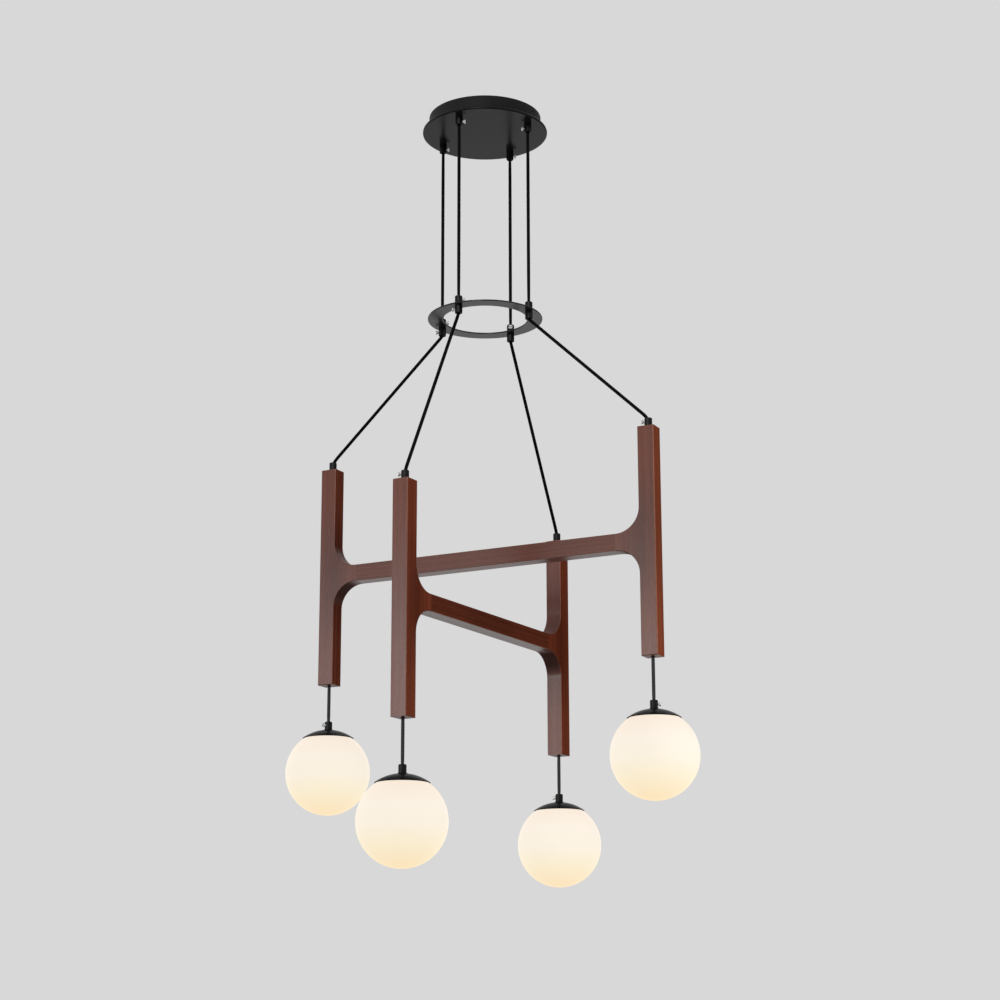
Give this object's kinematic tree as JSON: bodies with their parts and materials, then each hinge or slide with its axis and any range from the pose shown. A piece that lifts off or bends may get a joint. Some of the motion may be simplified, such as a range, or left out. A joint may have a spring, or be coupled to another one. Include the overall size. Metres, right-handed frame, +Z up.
{
  "type": "multi-arm pendant light",
  "caption": "Ceiling pendant: a long and a short H-shaped wooden frame hang crosswise on cords from a ring under a round canopy, with an opal globe lamp below each post.",
  "frame": {"origin": "middle of the ceiling bracket's two slots, on the ceiling face", "axes": "+Z up into the ceiling, +X along the bracket from the left cord grip to the right one, +Y from the front cord grip to the back one"},
  "size_m": [0.6228, 0.536, 1.1175],
  "materials": {
    "painted_black": "satin powder coat",
    "grip_black": "satin moulded",
    "nylon_white": "natural nylon",
    "zinc_steel": "zinc plated",
    "screw_black": "blackened",
    "terminal_white": "moulded",
    "cord_black": "smooth round sheath",
    "walnut": "satin lacquered walnut",
    "beech": "plain fluted dowel",
    "lamp_holder": "heat-resistant moulding",
    "bulb_white": "frosted capsule",
    "opal_glass": "opal, satin"
  },
  "bodies": {
    "canopy": {"ceiling_bracket": "zinc_steel", "canopy_drum": "painted_black", "canopy_disc": "painted_black", "canopy_set_screws": "screw_black", "terminal_block": "terminal_white", "canopy_cord_tails": "cord_black", "canopy_grips": "grip_black", "canopy_grip_nuts": "zinc_steel", "canopy_grip_screws": "nylon_white"},
    "left_upper_line": {"upper_cord_left": "cord_black"},
    "right_upper_line": {"upper_cord_right": "cord_black"},
    "front_upper_line": {"upper_cord_front": "cord_black"},
    "back_upper_line": {"upper_cord_back": "cord_black"},
    "ring": {"ring_plate": "painted_black", "ring_grips": "grip_black", "ring_grip_screws": "nylon_white"},
    "long_frame": {"long_frame_beam": "walnut", "long_frame_dowels": "beech", "long_frame_top_grips": "grip_black", "long_frame_top_grip_screws": "nylon_white", "long_frame_left_post": "walnut", "long_frame_left_cord": "cord_black", "long_frame_right_post": "walnut", "long_frame_right_cord": "cord_black"},
    "left_lamp_line": {"left_lamp_cord": "cord_black"},
    "left_lamp": {"left_lamp_grip": "grip_black", "left_lamp_grip_screw": "nylon_white", "left_lamp_cap": "painted_black", "left_lamp_holder": "lamp_holder", "left_lamp_bulb": "bulb_white"},
    "left_globe": {"left_lamp_globe": "opal_glass"},
    "right_lamp_line": {"right_lamp_cord": "cord_black"},
    "right_lamp": {"right_lamp_grip": "grip_black", "right_lamp_grip_screw": "nylon_white", "right_lamp_cap": "painted_black", "right_lamp_holder": "lamp_holder", "right_lamp_bulb": "bulb_white"},
    "right_globe": {"right_lamp_globe": "opal_glass"},
    "short_frame": {"short_frame_beam": "walnut", "short_frame_dowels": "beech", "short_frame_top_grips": "grip_black", "short_frame_top_grip_screws": "nylon_white", "short_frame_front_post": "walnut", "short_frame_front_cord": "cord_black", "short_frame_back_post": "walnut", "short_frame_back_cord": "cord_black"},
    "front_lamp_line": {"front_lamp_cord": "cord_black"},
    "front_lamp": {"front_lamp_grip": "grip_black", "front_lamp_grip_screw": "nylon_white", "front_lamp_cap": "painted_black", "front_lamp_holder": "lamp_holder", "front_lamp_bulb": "bulb_white"},
    "front_globe": {"front_lamp_globe": "opal_glass"},
    "back_lamp_line": {"back_lamp_cord": "cord_black"},
    "back_lamp": {"back_lamp_grip": "grip_black", "back_lamp_grip_screw": "nylon_white", "back_lamp_cap": "painted_black", "back_lamp_holder": "lamp_holder", "back_lamp_bulb": "bulb_white"},
    "back_globe": {"back_lamp_globe": "opal_glass"}
  },
  "joints": [
    {"name": "left_upper_sway", "type": "hinge", "parent": "canopy", "child": "left_upper_line", "pos_m": [-0.073, 0, -0.038], "axis": [0, 1, 0], "range_deg": [-8, 8]},
    {"name": "right_upper_sway", "type": "hinge", "parent": "canopy", "child": "right_upper_line", "pos_m": [0.073, 0, -0.038], "axis": [0, 1, 0], "range_deg": [-8, 8]},
    {"name": "front_upper_sway", "type": "hinge", "parent": "canopy", "child": "front_upper_line", "pos_m": [0, -0.073, -0.038], "axis": [0, 1, 0], "range_deg": [-8, 8]},
    {"name": "back_upper_sway", "type": "hinge", "parent": "canopy", "child": "back_upper_line", "pos_m": [0, 0.073, -0.038], "axis": [0, 1, 0], "range_deg": [-8, 8]},
    {"name": "ring_stays_level", "type": "hinge", "parent": "left_upper_line", "child": "ring", "pos_m": [-0.073, 0, -0.301], "axis": [0, 1, 0], "range_deg": [-8, 8]},
    {"name": "long_frame_swing", "type": "hinge", "parent": "ring", "child": "long_frame", "pos_m": [-0.073, 0, -0.327], "axis": [1, 0, 0], "range_deg": [-10, 10]},
    {"name": "left_lamp_cord_swing", "type": "hinge", "parent": "long_frame", "child": "left_lamp_line", "pos_m": [-0.25139, -0.01758, -0.831], "axis": [0.9976, 0.0698, 0], "range_deg": [-15, 15]},
    {"name": "left_lamp_tip", "type": "hinge", "parent": "left_lamp_line", "child": "left_lamp", "pos_m": [-0.25139, -0.01758, -0.883], "axis": [-0.0698, 0.9976, 0], "range_deg": [-15, 15]},
    {"name": "left_globe_unscrew", "type": "hinge", "parent": "left_lamp", "child": "left_globe", "pos_m": [-0.25139, -0.01758, -0.9565], "axis": [0, 0, -1], "range_deg": [0, 540]},
    {"name": "right_lamp_cord_swing", "type": "hinge", "parent": "long_frame", "child": "right_lamp_line", "pos_m": [0.25139, 0.01758, -0.831], "axis": [0.9976, 0.0698, 0], "range_deg": [-15, 15]},
    {"name": "right_lamp_tip", "type": "hinge", "parent": "right_lamp_line", "child": "right_lamp", "pos_m": [0.25139, 0.01758, -0.89], "axis": [-0.0698, 0.9976, 0], "range_deg": [-15, 15]},
    {"name": "right_globe_unscrew", "type": "hinge", "parent": "right_lamp", "child": "right_globe", "pos_m": [0.25139, 0.01758, -0.9635], "axis": [0, 0, -1], "range_deg": [0, 540]},
    {"name": "short_frame_swing", "type": "hinge", "parent": "ring", "child": "short_frame", "pos_m": [0, -0.073, -0.327], "axis": [0, 1, 0], "range_deg": [-10, 10]},
    {"name": "front_lamp_cord_swing", "type": "hinge", "parent": "short_frame", "child": "front_lamp_line", "pos_m": [0, -0.208, -0.923], "axis": [0, 1, 0], "range_deg": [-15, 15]},
    {"name": "front_lamp_tip", "type": "hinge", "parent": "front_lamp_line", "child": "front_lamp", "pos_m": [0, -0.208, -0.984], "axis": [-1, 0, 0], "range_deg": [-15, 15]},
    {"name": "front_globe_unscrew", "type": "hinge", "parent": "front_lamp", "child": "front_globe", "pos_m": [0, -0.208, -1.0575], "axis": [0, 0, -1], "range_deg": [0, 540]},
    {"name": "back_lamp_cord_swing", "type": "hinge", "parent": "short_frame", "child": "back_lamp_line", "pos_m": [0, 0.208, -0.923], "axis": [0, 1, 0], "range_deg": [-15, 15]},
    {"name": "back_lamp_tip", "type": "hinge", "parent": "back_lamp_line", "child": "back_lamp", "pos_m": [0, 0.208, -0.979], "axis": [-1, 0, 0], "range_deg": [-15, 15]},
    {"name": "back_globe_unscrew", "type": "hinge", "parent": "back_lamp", "child": "back_globe", "pos_m": [0, 0.208, -1.0525], "axis": [0, 0, -1], "range_deg": [0, 540]}
  ],
  "couplings": [
    {"joint": "right_upper_sway", "follows": "left_upper_sway", "ratio": 1},
    {"joint": "front_upper_sway", "follows": "left_upper_sway", "ratio": 1},
    {"joint": "back_upper_sway", "follows": "left_upper_sway", "ratio": 1},
    {"joint": "ring_stays_level", "follows": "left_upper_sway", "ratio": -1}
  ]
}
